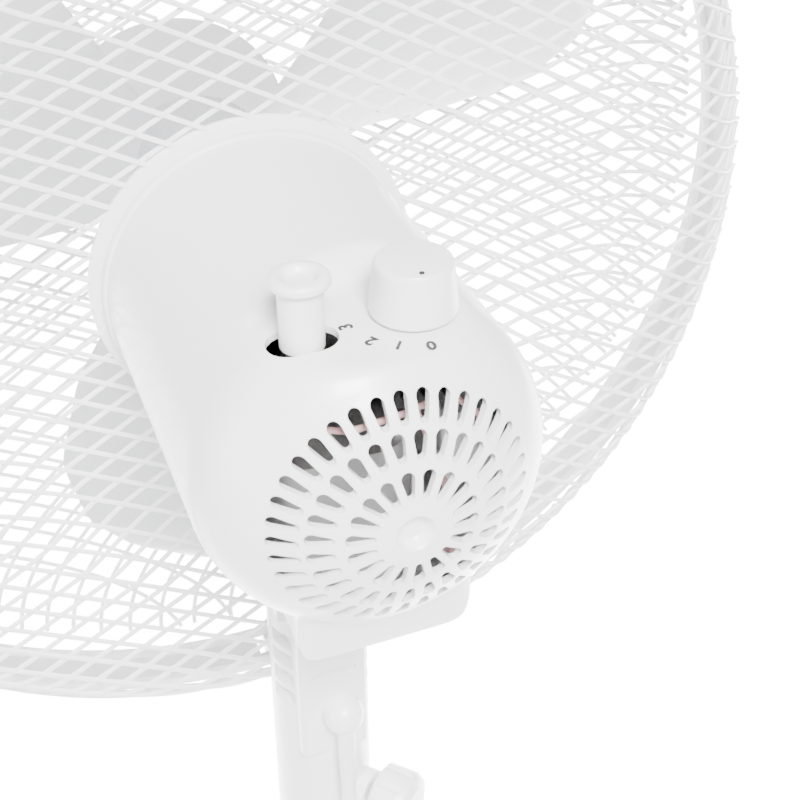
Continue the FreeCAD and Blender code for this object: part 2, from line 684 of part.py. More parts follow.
def rear_guard():
    """Diamond mesh between a centre plate and a rolled rim."""
    rim = around_y([(guard_radius - 4.5, guard_rear - 3), (guard_radius - 1, guard_rear - 3),
                    (guard_radius, guard_rear - 1.5), (guard_radius - 1, guard_rear),
                    (guard_radius - 4.5, guard_rear)])
    plate = around_y([(18.8, -156.0), (58, -156.0), (60, -156.6), (60, -158.6), (57, -157.6), (18.8, -157.6)])
    gap = wire / 2 + 0.02
    wires = mesh_wires(rear_depth, 60.02, guard_radius - 4.52, mesh_slope, gap, 40, [130.0, 192.0])
    wires += mesh_wires(rear_depth, 60.02, guard_radius - 4.52, -mesh_slope, -gap, 40, [130.0, 192.0])
    return group(rim, plate, *wires)


def front_guard():
    edge = guard_rear - guard_band
    rim = around_y([(guard_radius - 5.5, edge + 1.2), (guard_radius - 2.6, edge + 1.2),
                    (guard_radius - 2.6, edge - 2), (guard_radius - 5.5, edge - 2)])
    seat = around_y([(44, guard_nose + 5.2), (51, guard_nose + 5.2), (51, guard_nose + 8), (44, guard_nose + 8)])
    gap = wire / 2 + 0.02
    wires = mesh_wires(front_depth, 51.02, guard_radius - 5.52, mesh_slope, gap, 22, [166.0, 192.0])
    wires += mesh_wires(front_depth, 51.02, guard_radius - 5.52, -mesh_slope, -gap, 22, [166.0, 192.0])
    return group(rim, seat, *wires)


def clamp_band():
    """Channel that holds both rims together, open at the bottom for its screw."""
    rear, front = guard_rear - 3.05, guard_rear - guard_band
    band = around_y([(guard_radius - 2.5, rear), (guard_radius + 1.2, rear), (guard_radius + 1.2, front - 1.2),
                     (guard_radius - 2.5, front - 1.2)])
    band = band.cut(box(-2, -300, -guard_radius - 5, 2, -100, -guard_radius + 8))
    ears = [box(x, rear - 13, -guard_radius - 7, x + 3, rear - 3, -guard_radius + 1) for x in (-5, 2)]
    band = join(band, *ears)
    return band.cut(rod(1.6, (-10, rear - 8, -guard_radius - 4), (10, rear - 8, -guard_radius - 4)))


def band_screw():
    y, z = guard_rear - 11.05, -guard_radius - 4
    screw = join(rod(1.5, (-8.5, y, z), (5, y, z)), rod(2.8, (5, y, z), (7, y, z)))
    nut = pipe(2.8, 1.52, (-7.2, y, z), (-5, y, z))
    return group(screw, nut)


def guard_nut():
    """Ring nut that clamps the rear guard on the motor's nose."""
    nut = around_y([(18.65, -165), (34, -165), (36, -163), (36, -157.65), (18.65, -157.65)])
    return nut.cut(Part.makeCompound(polar(rod(2.5, (37, -170, 0), (37, -150, 0)), 12, V(), Y)))


def badge():
    """Plain domed disc at the centre of the front guard."""
    return around_y([(0, guard_nose), (30, guard_nose + 0.6), (46, guard_nose + 2.6), (50, guard_nose + 5.1),
                     (0, guard_nose + 5.1)])


# ---- cord -------------------------------------------------------------------
route = [
    (-2, 24.5, 722), (-2, 25.5, 688), (0, 31, 640), (2, 38, 575), (3, 44, 500), (4, 50, 420), (4, 57, 340),
    (5, 65, 260), (6, 74, 190), (7, 83, 130), (8, 92, 82), (9, 102, 44), (10.5, 116, 15), (12.2, 136, 2.8),
    (14.2, 153.8, 2.8),
]


def bent_wire(points):
    """Straight runs joined by tangent arcs; each arc is as large as its two runs allow."""
    points = [V(*p) for p in points]
    edges, radii, start = [], [], points[0]
    for i in range(1, len(points) - 1):
        back, ahead = points[i - 1] - points[i], points[i + 1] - points[i]
        turn = math.pi - back.getAngle(ahead)
        trim = 0.45 * min(back.Length, ahead.Length)
        radii.append(trim / math.tan(turn / 2))
        back.normalize()
        ahead.normalize()
        a, b = points[i] + back * trim, points[i] + ahead * trim
        middle_line = back + ahead
        middle_line.normalize()
        depth = radii[-1] / math.cos(turn / 2) - radii[-1]
        middle = points[i] + middle_line * depth
        edges.append(Part.LineSegment(start, a).toShape())
        edges.append(Part.Arc(a, middle, b).toShape())
        start = b
    edges.append(Part.LineSegment(start, points[-1]).toShape())
    return Part.Wire(edges), radii


coil_x, coil_y = 48.0, 140.0
coil_middle = 33.0        # radius at the middle of the turns
coil_turns_wide, coil_turns_high = 2, 2
plug_y = coil_y + coil_middle + 2.9


def cord_run():
    """The cord from the bush down to the floor and round to the coil."""
    path, radii = bent_wire(route)
    first = V(*route[0])
    face = Part.Face(Part.Wire(Part.Circle(first, V(*route[1]) - first, cord / 2).toShape()))
    tube = path.makePipe(face)
    tube = tube if tube.Solids else Part.Solid(tube)
    print("cord radii", [round(r) for r in radii], "length", round(path.Length),
          "volume ratio", round(tube.Volume / (math.pi * cord ** 2 / 4 * path.Length), 3))
    return tube


def cord_coil():
    half, high = coil_turns_wide * cord / 2 + 0.3, coil_turns_high * cord + 0.3
    return around_z([(coil_middle - half, 0.05), (coil_middle + half, 0.05), (coil_middle + half, high),
                     (coil_middle - half, high)], coil_x, coil_y)


def cord_tie():
    """Strap round the coil's turns on the side away from the plug."""
    half, high = coil_turns_wide * cord / 2 + 0.8, coil_turns_high * cord + 0.35
    y = coil_y - coil_middle
    outer = box(coil_x - 5, y - half - 0.9, 0, coil_x + 5, y + half + 0.9, high + 0.9)
    inner = box(coil_x - 6, y - half, -1, coil_x + 6, y + half, high)
    return filleted(outer, 0.8, X).cut(inner)


def plug_body():
    """Flat two-pin plug lying beside the coil, with its strain relief."""
    x0 = coil_x + 4
    relief = turned([(0, 0), (3.2, 0), (4.6, 22), (0, 22)], V(x0, plug_y, 7.0), X, Z)
    rings = [turned([(3.0, d), (5.0, d), (5.0, d + 2), (3.0, d + 2)], V(x0, plug_y, 7.0), X, Z) for d in (6, 11, 16)]
    outline = Part.makePolygon([V(x0 + 21, plug_y - 6, 0), V(x0 + 34, plug_y - 17.6, 0), V(x0 + 52, plug_y - 17.6, 0),
                                V(x0 + 52, plug_y + 17.6, 0), V(x0 + 34, plug_y + 17.6, 0), V(x0 + 21, plug_y + 6, 0),
                                V(x0 + 21, plug_y - 6, 0)])
    body = Part.Face(outline).extrude(V(0, 0, 13.7))
    body = filleted(body, 3.0)
    return join(body, relief, *rings)


def plug_pins():
    x0 = coil_x + 4 + 52
    pins = [rod(2.0, (x0, plug_y + side * 9.5, 6.85), (x0 + 19, plug_y + side * 9.5, 6.85)) for side in (-1, 1)]
    return group(*pins)


def main():
    save("base_bar_lower", base_bar(False))
    save("base_bar_upper", base_bar(True))
    save("base_end_caps", group(*polar(end_cap(), 4, V(), Z, 45)))
    save("foot_pads", group(*polar(foot_pad(), 4, V(), Z, 45)))
    save("pole_socket", pole_socket())
    save("base_bolt", base_bolt())
    save("base_nut", base_nut())
    save("base_cover", base_cover())
    save("outer_tube", outer_tube())
    save("inner_tube", inner_tube())
    save("collar_bush", collar_bush())
    save("height_collar", height_collar())
    save("neck_column", neck_column())
    save("cord_bush", cord_bush())
    save("neck_knob", neck_knob())
    save("tilt_bolt", tilt_bolt())
    save("tilt_nut", tilt_nut())
    save("swivel_bracket", swivel_bracket())
    save("link_screw", link_screw())
    save("crank_link", crank_link())
    for make in (motor_rear_cover, motor_front_cover, front_end_bell, rear_end_bell, motor_bushes, stator_core,
                 stator_windings, motor_screws, motor_shaft, rotor_core, worm_wheel, pinion, crank_gear,
                 gearbox_case, gearbox_lid, swivel_block, oscillation_knob, pull_rod, speed_knob, speed_switch,
                 capacitor, lead_wires, fan_blade, blade_nut, rear_guard, front_guard, clamp_band, band_screw,
                 guard_nut, badge):
        save(make.__name__, head(make()))
    save("cord_run", cord_run())
    save("cord_coil", cord_coil())
    save("cord_tie", cord_tie())
    save("plug_body", plug_body())
    save("plug_pins", plug_pins())


main()
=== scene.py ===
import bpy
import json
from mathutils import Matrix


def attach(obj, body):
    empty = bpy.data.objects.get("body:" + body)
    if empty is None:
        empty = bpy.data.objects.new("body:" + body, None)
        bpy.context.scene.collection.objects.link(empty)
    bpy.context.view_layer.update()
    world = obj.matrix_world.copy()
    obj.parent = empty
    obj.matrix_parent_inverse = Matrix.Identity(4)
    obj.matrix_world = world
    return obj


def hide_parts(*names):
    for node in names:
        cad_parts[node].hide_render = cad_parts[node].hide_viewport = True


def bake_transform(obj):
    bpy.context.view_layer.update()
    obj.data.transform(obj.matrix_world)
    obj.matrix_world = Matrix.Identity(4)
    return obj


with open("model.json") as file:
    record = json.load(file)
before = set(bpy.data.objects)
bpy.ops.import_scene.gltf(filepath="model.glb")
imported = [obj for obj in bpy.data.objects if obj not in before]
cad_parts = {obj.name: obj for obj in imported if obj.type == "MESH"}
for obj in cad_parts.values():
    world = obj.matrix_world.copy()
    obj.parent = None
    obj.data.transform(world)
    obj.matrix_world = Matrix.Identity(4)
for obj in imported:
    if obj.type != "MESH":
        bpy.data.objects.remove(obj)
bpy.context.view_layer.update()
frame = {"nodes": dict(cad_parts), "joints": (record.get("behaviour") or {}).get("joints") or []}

import json
import math
import bpy
import bmesh
import numpy as np
from mathutils import Matrix, Vector

mm = 0.001
joints = {j["name"]: j for j in frame["joints"]}
shaftHeight = joints["rotor_spin"]["pos_m"][2]          # shaft above the floor
headPlace = np.array([0.0, 0.100, shaftHeight])         # centre of the motor cover's rear dome


def addObject(name, data):
    made = bpy.data.objects.new(name, data)
    bpy.context.scene.collection.objects.link(made)
    return made


# camera: behind and above the head
view = {
    "place": (112.1, 284.0, 258.7),   # mm from the rear dome's centre
    "towards": (-0.3476, -0.7978, -0.4926),
    "roll": 0.9,                      # degrees
    "lens": 65.07,
    "shift": (-0.0754, -0.175),
}


def makeCamera():
    # the view direction and the world's up give right and up, then both are rolled
    ahead = np.array(view["towards"]) / np.linalg.norm(view["towards"])
    right = np.cross(ahead, (0, 0, 1))
    right /= np.linalg.norm(right)
    up = np.cross(right, ahead)
    c, s = math.cos(math.radians(view["roll"])), math.sin(math.radians(view["roll"]))
    right, up = c * right + s * up, c * up - s * right
    place = headPlace + np.array(view["place"]) * mm
    cam = addObject("camera", bpy.data.cameras.new("camera"))
    cam.data.lens = view["lens"]
    cam.data.sensor_width = 36
    cam.data.shift_x, cam.data.shift_y = view["shift"]
    cam.data.clip_start = 0.01
    turn = np.eye(4)
    turn[:3, 0], turn[:3, 1], turn[:3, 2], turn[:3, 3] = right, up, -ahead, place
    cam.matrix_world = Matrix(turn.tolist())
    bpy.context.scene.camera = cam
    print("camera at", place.round(3).tolist())


makeCamera()


# materials: a small way of writing shader nodes, then the finishes
class Value:
    # a node's output that Python expressions can work with
    def __init__(self, shade, socket):
        self.shade, self.socket = shade, socket

    def __add__(self, other):
        return self.shade.maths("ADD", self, other)

    def __sub__(self, other):
        return self.shade.maths("SUBTRACT", self, other)

    def __rsub__(self, other):
        return self.shade.maths("SUBTRACT", other, self)

    def __mul__(self, other):
        return self.shade.maths("MULTIPLY", self, other)

    def __truediv__(self, other):
        return self.shade.maths("DIVIDE", self, other)

    __radd__, __rmul__ = __add__, __mul__

    def clamp(self, low=0.0, high=1.0):
        return self.shade.node("ShaderNodeClamp", {}, {"Value": self, "Min": low, "Max": high})


class Shade:
    # one material, or the sky; node() adds any node from its type, settings and socket values
    def __init__(self, owner):
        self.owner = owner
        owner.use_nodes = True
        self.tree = owner.node_tree
        self.tree.nodes.clear()

    def node(self, kind, settings=None, sockets=None, out=0):
        made = self.tree.nodes.new(kind)
        for key, value in (settings or {}).items():
            if key == "stops":
                ramp = made.color_ramp
                while len(ramp.elements) < len(value):
                    ramp.elements.new(0.5)
                for stop, (where, colour) in zip(ramp.elements, value):
                    stop.position, stop.color = where, (*colour, 1)
            else:
                setattr(made, key, value)
        for key, value in (sockets or {}).items():
            socket = made.inputs[key]
            if isinstance(value, Value):
                self.tree.links.new(value.socket, socket)
            elif isinstance(value, (tuple, list)) and socket.type == "RGBA":
                socket.default_value = (*value[:3], 1)
            else:
                socket.default_value = value
        return Value(self, made.outputs[out]) if made.outputs else None

    def maths(self, kind, *values):
        return self.node("ShaderNodeMath", {"operation": kind}, dict(enumerate(values)))

    def here(self):
        return self.node("ShaderNodeTexCoord", {}, {}, out=3)

    def noise(self, scale, detail=3.0, rough=0.5, where=None, stretch=None):
        where = where or self.here()
        if stretch:
            where = self.node("ShaderNodeVectorMath", {"operation": "MULTIPLY"}, {0: where, 1: stretch})
        return self.node("ShaderNodeTexNoise", {}, {"Vector": where, "Scale": scale, "Detail": detail,
                                                    "Roughness": rough})

    def mix(self, share, first, second):
        return self.node("ShaderNodeMix", {"data_type": "RGBA"}, {"Factor": share, 6: first, 7: second}, out=2)

    def bump(self, height, depth, strength=1.0, edge=0.0):
        # with an edge radius the shading also runs softly over sharp edges
        sockets = {"Height": height, "Distance": depth, "Strength": strength}
        if edge:
            sockets["Normal"] = self.node("ShaderNodeBevel", {"samples": 4}, {"Radius": edge})
        return self.node("ShaderNodeBump", {}, sockets)

    def done(self, sockets):
        shader = self.node("ShaderNodeBsdfPrincipled", {}, sockets)
        self.node("ShaderNodeOutputMaterial", {}, {"Surface": shader})
        return self.owner


def plastic(name, colour, rough, grain=0.25, coat=0.0, through=0.0, spread=0.03, edge=0.0):
    # moulded plastic: a faint cloud of tone, a roughness that drifts and a fine moulded grain
    s = Shade(bpy.data.materials.new(name))
    cloud = s.noise(14.0, 2.0)
    fine = s.noise(1400.0, 2.0, 0.6)
    dark, light = (tuple(min(1.0, c * (1 + k * spread)) for c in colour) for k in (-1, 1))
    tone = s.mix(cloud, dark, light)
    gloss = (rough + (cloud - 0.5) * 0.10 + (fine - 0.5) * 0.06).clamp(0.05, 0.95)
    wave = s.noise(60.0, 1.0)
    return s.done({"Base Color": tone, "Roughness": gloss, "IOR": 1.5, "Coat Weight": coat,
                   "Subsurface Weight": through, "Subsurface Radius": (0.004, 0.004, 0.004),
                   "Normal": s.bump(fine * grain + wave * 0.5, 0.00005, 0.5, edge)})


def metal(name, colour, rough, brushed=None, metallic=1.0):
    # bare metal: streaks along one direction and stains from handling
    s = Shade(bpy.data.materials.new(name))
    streak = s.noise(300.0, 3.0, 0.6, stretch=brushed or (1, 1, 1))
    stain = s.noise(40.0, 3.0)
    tone = s.mix(stain, tuple(c * 0.82 for c in colour), colour)
    gloss = (rough + (streak - 0.5) * 0.22 + (stain - 0.5) * 0.12).clamp(0.08, 0.95)
    return s.done({"Base Color": tone, "Roughness": gloss, "Metallic": metallic,
                   "Normal": s.bump(streak, 0.00004, 0.6)})


def coated(name, colour, rough):
    # powder or plastic coat on steel: a slight orange peel
    s = Shade(bpy.data.materials.new(name))
    peel = s.noise(420.0, 2.0, 0.55)
    cloud = s.noise(9.0, 2.0)
    tone = s.mix(cloud, tuple(c * 0.97 for c in colour), colour)
    gloss = (rough + (peel - 0.5) * 0.12 + (cloud - 0.5) * 0.08).clamp(0.05, 0.95)
    return s.done({"Base Color": tone, "Roughness": gloss, "IOR": 1.5, "Normal": s.bump(peel, 0.00006, 0.45)})


finishes = {
    "coverWhite": plastic("coverWhite", (0.86, 0.86, 0.865), 0.32, 0.2, coat=0.15, edge=0.0006),
    "knobWhite": plastic("knobWhite", (0.88, 0.88, 0.885), 0.30, 0.1, coat=0.1, edge=0.0005),
    "baseWhite": plastic("baseWhite", (0.84, 0.84, 0.845), 0.38, 0.35, edge=0.0012),
    # painted shade: the blades' light grey plastic is painted darker here, standing in for the shade they lie in
    # behind the guard
    "bladeShadedGrey": plastic("bladeShadedGrey", (0.60, 0.605, 0.625), 0.28, 0.15),
    # painted shade: the clamp band is painted grey for the shade it lies in between and behind the guards' wires
    "bandShadedGrey": coated("bandShadedGrey", (0.66, 0.66, 0.675), 0.36),
    # painted shade: the badge is white plastic, painted grey for the shade on its back face
    "badgeShadedGrey": plastic("badgeShadedGrey", (0.56, 0.56, 0.575), 0.34, 0.2, edge=0.0008),
    "wireWhite": coated("wireWhite", (0.86, 0.86, 0.87), 0.30),
    "tubeWhite": coated("tubeWhite", (0.84, 0.84, 0.845), 0.28),
    "cordWhite": plastic("cordWhite", (0.85, 0.85, 0.855), 0.42, 0.3),
    "inkBlack": plastic("inkBlack", (0.02, 0.02, 0.022), 0.45, 0.1),
    "zinc": metal("zinc", (0.62, 0.62, 0.62), 0.34, (1, 8, 1)),
    "alloy": metal("alloy", (0.58, 0.58, 0.58), 0.52),
    "laminations": metal("laminations", (0.20, 0.19, 0.18), 0.5, (1, 30, 1)),
    "copper": metal("copper", (0.55, 0.27, 0.13), 0.38, (1, 40, 1)),
    "bronze": metal("bronze", (0.60, 0.43, 0.22), 0.45),
    "acetal": plastic("acetal", (0.78, 0.76, 0.68), 0.4, 0.2, through=0.1),
    "phenolic": plastic("phenolic", (0.03, 0.03, 0.032), 0.45, 0.4),
    "rubber": plastic("rubber", (0.035, 0.035, 0.037), 0.75, 0.8),
    "leads": plastic("leads", (0.70, 0.42, 0.42), 0.45, 0.2),
}
nodeFinish = {
    "zinc": ["pole_socket", "base_bolt", "base_nut", "tilt_bolt", "tilt_nut", "link_screw", "crank_link",
             "motor_screws", "motor_shaft", "pinion", "pull_rod", "band_screw", "plug_pins"],
    "alloy": ["swivel_bracket", "front_end_bell", "rear_end_bell", "gearbox_case", "gearbox_lid",
              "swivel_block"],
    "laminations": ["stator_core", "rotor_core"],
    "copper": ["stator_windings"],
    "bronze": ["motor_bushes"],
    "acetal": ["worm_wheel", "crank_gear", "collar_bush"],
    "phenolic": ["speed_switch", "cord_tie"],
    "rubber": ["foot_pads"],
    "leads": ["lead_wires"],
    "tubeWhite": ["base_bar_lower", "base_bar_upper", "outer_tube", "inner_tube"],
    "baseWhite": ["base_end_caps", "base_cover", "height_collar"],
    "coverWhite": ["motor_rear_cover", "motor_front_cover", "neck_column", "guard_nut", "capacitor"],
    "bandShadedGrey": ["clamp_band"],
    "badgeShadedGrey": ["badge"],
    "knobWhite": ["neck_knob", "oscillation_knob", "speed_knob", "blade_nut"],
    "bladeShadedGrey": ["fan_blade"],
    "wireWhite": ["rear_guard", "front_guard"],
    "cordWhite": ["cord_run", "cord_coil", "cord_bush", "plug_body"],
}
for finish, names in nodeFinish.items():
    for name in names:
        mesh = frame["nodes"][name].data
        mesh.materials.clear()
        mesh.materials.append(finishes[finish])
        mesh.polygons.foreach_set("material_index", np.zeros(len(mesh.polygons), np.int32))
print("finishes on", sum(len(n) for n in nodeFinish.values()), "of", len(frame["nodes"]), "frame nodes")


# mesh helpers
def fromHead(points):
    # millimetres from the rear dome's centre to metres in the frame
    return np.asarray(points, float) * mm + headPlace


def quadsOf(nu, nv, closeU=False, closeV=False, flip=False, start=0):
    # faces of an nu x nv grid of points, optionally joined at its ends
    i = np.arange(nu if closeU else nu - 1)
    j = np.arange(nv if closeV else nv - 1)
    i, j = np.meshgrid(i, j, indexing="ij")
    i2, j2 = (i + 1) % nu, (j + 1) % nv
    quads = np.stack([i * nv + j, i2 * nv + j, i2 * nv + j2, i * nv + j2], -1).reshape(-1, 4) + start
    return quads[:, ::-1] if flip else quads


def meshOf(name, parts, weld, outward):
    # parts are (points, faces) pairs; they become one mesh with its doubles merged
    points = np.concatenate([np.asarray(p, float).reshape(-1, 3) for p, f in parts])
    faces, start = [], 0
    for p, f in parts:
        faces += [[k + start for k in face] for face in (f.tolist() if isinstance(f, np.ndarray) else f)]
        start += np.asarray(p).reshape(-1, 3).shape[0]
    mesh = bpy.data.meshes.new(name)
    mesh.from_pydata(points.tolist(), [], faces)
    work = bmesh.new()
    work.from_mesh(mesh)
    if weld:
        bmesh.ops.remove_doubles(work, verts=work.verts, dist=weld)
        bmesh.ops.dissolve_degenerate(work, edges=work.edges, dist=1e-7)
    if outward:
        bmesh.ops.recalc_face_normals(work, faces=work.faces)
    work.to_mesh(mesh)
    work.free()
    return mesh


def evaluated(thing):
    # the mesh of a text or of a piece with a modifier
    bpy.context.view_layer.update()
    return bpy.data.meshes.new_from_object(thing.evaluated_get(bpy.context.evaluated_depsgraph_get()))


def smooth(mesh, sharp):
    mesh.shade_smooth()
    mesh.set_sharp_from_angle(angle=math.radians(sharp))


def addPiece(name, parts, body, finish, stands=(), weld=1e-6, sharp=35.0, outward=False):
    mesh = meshOf(name, parts, weld, outward)
    smooth(mesh, sharp)
    mesh.materials.append(finishes[finish])
    piece = addObject(name, mesh)
    if body:
        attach(piece, body)
    if stands:
        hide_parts(*stands)
    return piece


def turned(x, z, angle):
    # points turned about the shaft
    return x * math.cos(angle) - z * math.sin(angle), x * math.sin(angle) + z * math.cos(angle)


def circle(x, y, radius, count):
    t = np.linspace(0, 2 * np.pi, count, endpoint=False)
    return np.stack([x + radius * np.cos(t), y + radius * np.sin(t)], -1)


def lathe(profile, axis="Z", place=(0, 0, 0), around=96, corner=0.0):
    # a (radius, height) profile, its corners rounded, turned about an axis; closed at radius 0
    line = softCorners(np.array(profile, float), corner) if corner else np.array(profile, float)
    a = np.linspace(0, 2 * np.pi, around, endpoint=False)
    r, h = line[:, 0], line[:, 1]
    ring = np.stack([np.outer(np.cos(a), r), np.outer(np.sin(a), r), np.tile(h, (around, 1))], -1)
    if axis == "Y":
        ring = np.stack([ring[..., 0], ring[..., 2], -ring[..., 1]], -1)
    ring = ring + np.array(place, float)
    return ring, quadsOf(around, len(line), closeU=True)


def softCorners(line, radius, steps=4):
    # each inner corner of a polyline becomes a quadratic curve that starts and ends radius away
    out = [line[0]]
    for before, corner, after in zip(line[:-2], line[1:-1], line[2:]):
        back, ahead = before - corner, after - corner
        lb, la = np.linalg.norm(back), np.linalg.norm(ahead)
        reach = min(radius, 0.48 * lb, 0.48 * la)
        p, q = corner + back / lb * reach, corner + ahead / la * reach
        t = np.linspace(0, 1, steps + 1)[:, None]
        out += list((1 - t) ** 2 * p + 2 * t * (1 - t) * corner + t ** 2 * q)
    return np.array(out + [line[-1]])


def tubes(paths, radius, sides=6, flat=1.0, facing=(0, 1, 0)):
    # round or flattened rods along many polylines; each ring stands square to its path
    parts = []
    a = np.linspace(0, 2 * np.pi, sides, endpoint=False)
    facing = np.array(facing, float)
    for path in paths:
        run = np.gradient(path, axis=0)
        run /= np.linalg.norm(run, axis=1, keepdims=True)
        side = np.cross(run, facing)
        side /= np.linalg.norm(side, axis=1, keepdims=True)
        lift = np.cross(side, run)
        ring = (path[:, None] + radius * (np.cos(a)[None, :, None] * side[:, None]
                                          + flat * np.sin(a)[None, :, None] * lift[:, None]))
        parts.append((ring, quadsOf(len(path), sides, closeV=True, flip=True)))
        ends = np.arange(sides)
        parts.append((ring[0], [ends.tolist()]))
        parts.append((ring[-1], [ends[::-1].tolist()]))
    return parts


# guards: two diamond meshes, each laid on a dish
guard = {
    "rim": 213.8, "rearEdge": -177.0, "band": 18.0,
    "dishDepth": 92.0, "dishPowers": (2.6, 0.36),
    "wire": 0.95,                      # wire radius
    "wide": 19.2, "high": 10.5,        # one diamond
    "hub": 58.0, "seat": 50.0,         # centre plate and badge radii
    "step": 5.0,                       # distance between points along a wire
    "pattern": (-1.4, 0.9),            # where the diamonds are centred
    # radius and depth where the rear dish changes slope
    "rearLine": [(0, -157.6), (72, -157.2), (106, -154.8), (130, -145), (183, -144.5), (190, -148.5),
                 (200, -160), (208, -170), (213.8, -177)],
}


def rearDepth(r):
    # flat middle, one step back, then down to the rim, averaged over 10 mm so that its bends are soft
    r = np.asarray(r, float)
    spread = np.linspace(-5, 5, 9)
    where, depth = np.array(guard["rearLine"]).T
    return np.mean([np.interp(np.abs(r + d), where, depth) for d in spread], axis=0)


def frontDepth(r):
    # the front edge less the dish depth times (1 - t^2.6)^0.36, t running from 0 in the middle to 1 near the rim
    t = np.clip(r / (guard["rim"] - 4.0), 0, 1)
    first, second = guard["dishPowers"]
    return guard["rearEdge"] - guard["band"] - guard["dishDepth"] * (1 - t ** first) ** second


def diamondPaths(depth, inner, outer, sign, lift):
    # parallel lines at the diamond's slope, cut by the two circles and laid on the dish
    slope = math.atan2(guard["high"], guard["wide"]) * sign
    along = np.array([math.cos(slope), math.sin(slope)])
    across = np.array([-math.sin(slope), math.cos(slope)])
    pitch = guard["high"] * math.cos(slope)
    paths = []
    count = int(outer / pitch)
    for i in range(-count, count + 1):
        c = (i + 0.5) * pitch + np.dot(guard["pattern"], across)
        if abs(c) > outer - 2:
            continue
        reach = math.sqrt(outer ** 2 - c ** 2)
        stop = math.sqrt(inner ** 2 - c ** 2) if abs(c) < inner else 0.0
        spans = [(-reach, -stop), (stop, reach)] if stop else [(-reach, reach)]
        for a, b in spans:
            n = max(3, int((b - a) / guard["step"]) + 1)
            s = (a + b) / 2 + (b - a) / 2 * np.sin(np.linspace(-1, 1, n) * np.pi / 2)
            x = s * along[0] + c * across[0]
            z = s * along[1] + c * across[1]
            paths.append(np.stack([x, depth(np.hypot(x, z)) + lift, z], -1))
    return paths


def makeGuards():
    # each guard is two layers of crossing wires, one layer just above the other, between its rings
    w, rim = guard["wire"], guard["rim"]
    edge, frontEdge = guard["rearEdge"], guard["rearEdge"] - guard["band"]
    rearRim = [(rim - 4.5, edge), (rim - 1, edge), (rim, edge - 1.5), (rim - 1, edge - 3),
               (rim - 4.5, edge - 3), (rim - 4.5, edge)]
    rearPlate = [(18.8, -156.0), (57.5, -156.0), (59, -156.8), (59, -158.4), (57, -158.6), (18.8, -157.6),
                 (18.8, -156.0)]
    frontRim = [(rim - 5.5, frontEdge + 1.2), (rim - 2.6, frontEdge + 1.2), (rim - 2.6, frontEdge - 2),
                (rim - 5.5, frontEdge - 2), (rim - 5.5, frontEdge + 1.2)]
    for side, depth, inner, outer, rings in (
            ("rear", rearDepth, guard["hub"], rim - 2.5, [(rearRim, 240), (rearPlate, 144)]),
            ("front", frontDepth, guard["seat"], rim - 4.5, [(frontRim, 240)])):
        parts = []
        for layer in (1, -1):
            parts += tubes(diamondPaths(depth, inner, outer, layer, 0.45 * layer * w), w)
        parts += [lathe(profile, "Y", around=count) for profile, count in rings]
        addPiece(side + "_guard_mesh", [(fromHead(p), f) for p, f in parts], "head", "wireWhite",
                 [side + "_guard"], weld=0)


makeGuards()


# motor cover
cover = {
    "radius": 54.0, "seam": -149.6, "face": -154.3,   # barrel, its front end and the front plate
    "wall": 2.4,
    "jaw": (47.0, 46.0, 6.0),          # half width, depth, squareness of the lower barrel
    "block": (28.0, 62.0, 12.0),       # the same for the block over the neck
    "blockBack": -24.0, "jawBack": -50.0,
    "platform": 45.0, "platformEnd": -59.0, "platformSlant": 0.26,
    "blend": 3.2,                      # how widely the shapes run into each other
    "around": 216,
    "dimple": (6.0, 3.4),              # radius and depth of the hollow in the middle
    # count, inner end, outer end, width at the inner and at the outer end, first angle
    "vents": [(36, 31.0, 39.0, 2.5, 3.9, 0.0), (27, 22.2, 29.8, 2.5, 4.0, 4.0),
              (18, 11.4, 19.6, 2.0, 3.9, 5.0)],
    "pull": (18.7, -37.5), "pullHole": (3.4, 6.9),    # half the straight part and the end radius
    "dial": (-15.0, -40.0), "dialHole": 4.2,
    "neckHole": (0.0, -100.0, 18.4),
    "ringHoles": (8, 38.0, 6.0, 22.5),                # count, distance out, radius, first angle
}


def arcPoints(a, b, c, n):
    # the circle through three points, from the first to the last
    a, b, c = (np.array(p, float) for p in (a, b, c))
    m = np.array([b - a, c - a]) * 2
    centre = np.linalg.solve(m, np.array([b @ b - a @ a, c @ c - a @ a]))
    first, last = (math.atan2(*(p - centre)[::-1]) for p in (a, c))
    t = np.linspace(first, last, n)
    return centre + np.linalg.norm(a - centre) * np.stack([np.cos(t), np.sin(t)], -1)


def ease(x, low, high):
    # 3 t^2 - 2 t^3 of the share t of the way from low to high
    t = np.clip((x - low) / (high - low), 0, 1)
    return t * t * (3 - 2 * t)


def softMax(a, b, k):
    # half of a + b + the root of (a - b)^2 + k^2: the larger of the two, rounded where they cross
    return (a + b + np.sqrt((a - b) ** 2 + k * k)) / 2


def outline(r, y, a):
    # radius of the cover at depth y and angle a: the turned barrel, softly grown below to two boxes and
    # softly cut above to the knobs' flat; a box is (|cos/half|^n + |sin/deep|^n)^(-1/n) and the flat is its
    # height over the sine
    c, s = np.cos(a), np.sin(a)
    k = cover["blend"]
    for (half, deep, square), back, reach in ((cover["jaw"], cover["jawBack"], 16.0),
                                              (cover["block"], cover["blockBack"], 2.6)):
        box = (np.abs(c / half) ** square + np.abs(s / deep) ** square) ** (-1 / square)
        gate = ease(-y, -back - reach / 2, -back + reach / 2) * ease(-s, -0.05, 0.25)
        grown = softMax(r, box, k) - k * k / (4 * np.abs(r - box) + 2 * k)
        r = r + (grown - r) * gate
    x = r * c
    wall = cover["platformEnd"] - cover["platformSlant"] * -x
    height = cover["platform"] + 14.0 * ease(-y, -wall - 1.0, -wall + 13.0)
    flat = height / np.maximum(s, 0.05)
    cut = -softMax(-r, -flat, 1.6)
    return np.where((s > 0.3) & (y > -82), r + (cut - r) * ease(s, 0.3, 0.45), r)


